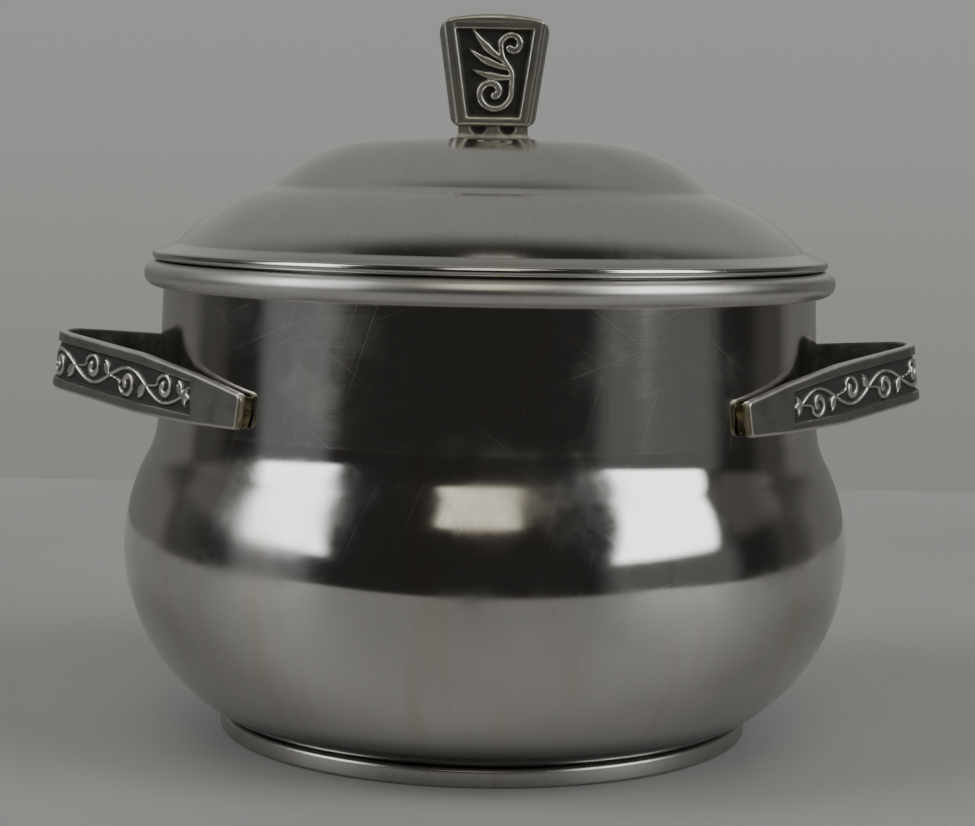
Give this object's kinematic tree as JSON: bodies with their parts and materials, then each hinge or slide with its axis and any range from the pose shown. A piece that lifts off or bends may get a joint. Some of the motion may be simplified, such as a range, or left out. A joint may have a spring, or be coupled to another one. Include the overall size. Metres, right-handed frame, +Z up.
{
  "type": "lidded sugar bowl",
  "caption": "Round-bellied metal sugar bowl on a foot ring, with a lift-off stepped dome lid, a flat cast knob and two ornamented strap loop handles.",
  "frame": {"origin": "centre of the foot ring's underside, on the surface the bowl stands on", "axes": "+Z up along the bowl's axis; the handles stand out along +X and -X; the knob's two decorated faces look along -Y and +Y"},
  "size_m": [0.1334, 0.1106, 0.1089],
  "materials": {
    "bowl_steel": "polished spun steel with fine turning scratches, handling marks and faint smudges",
    "lid_steel": "satin spun steel, duller than the bowl, with circular rubbing marks",
    "nickel_silver": "cast nickel silver, worn bright on the raised borders and relief, dark patina in the sunk panels",
    "solder": "dull yellowish hard solder",
    "fastener_steel": "plain turned steel"
  },
  "bodies": {
    "bowl": {"bowl_shell": "bowl_steel", "foot_ring": "bowl_steel", "foot_ring_solder": "solder", "right_handle": "nickel_silver", "left_handle": "nickel_silver", "right_handle_solder": "solder", "left_handle_solder": "solder"},
    "lid": {"lid_shell": "lid_steel", "lid_locating_ring": "lid_steel", "knob_washer": "fastener_steel", "knob_screw": "fastener_steel", "knob": "nickel_silver"}
  },
  "joints": [
    {"name": "lid_lift", "type": "slide", "parent": "bowl", "child": "lid", "axis": [0, 0, 1], "range_m": [0, 0.08]}
  ]
}
